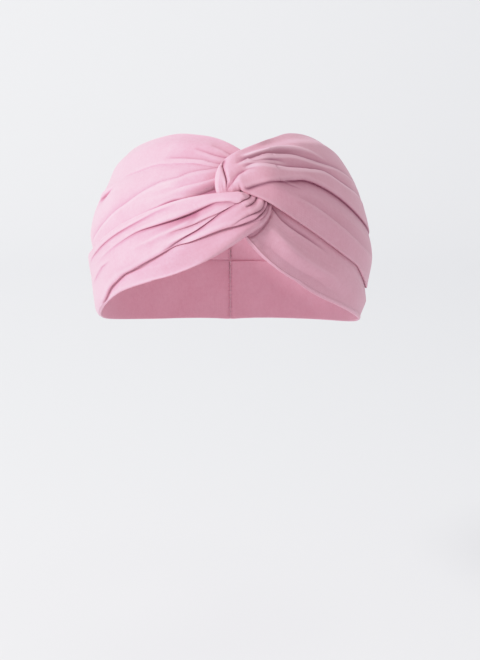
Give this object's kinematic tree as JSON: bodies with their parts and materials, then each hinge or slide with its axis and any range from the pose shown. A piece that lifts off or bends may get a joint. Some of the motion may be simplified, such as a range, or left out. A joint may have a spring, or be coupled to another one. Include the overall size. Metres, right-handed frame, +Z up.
{
  "type": "turban headband",
  "caption": "Wide stretch-jersey headband in its worn form: gathered strips looped round each other in a flat twist at the forehead and sewn together at the back.",
  "frame": {"origin": "centre of the head hollow, level with the widest part of the head that the band is worn on", "axes": "+X to the right seen from the front, +Y to the back of the head, +Z up; the twist faces -Y"},
  "size_m": [0.1632, 0.1949, 0.134],
  "materials": {
    "jersey": "matt dusty pink stretch jersey"
  },
  "bodies": {
    "root": {"left_band": "jersey", "right_band": "jersey"}
  },
  "joints": []
}
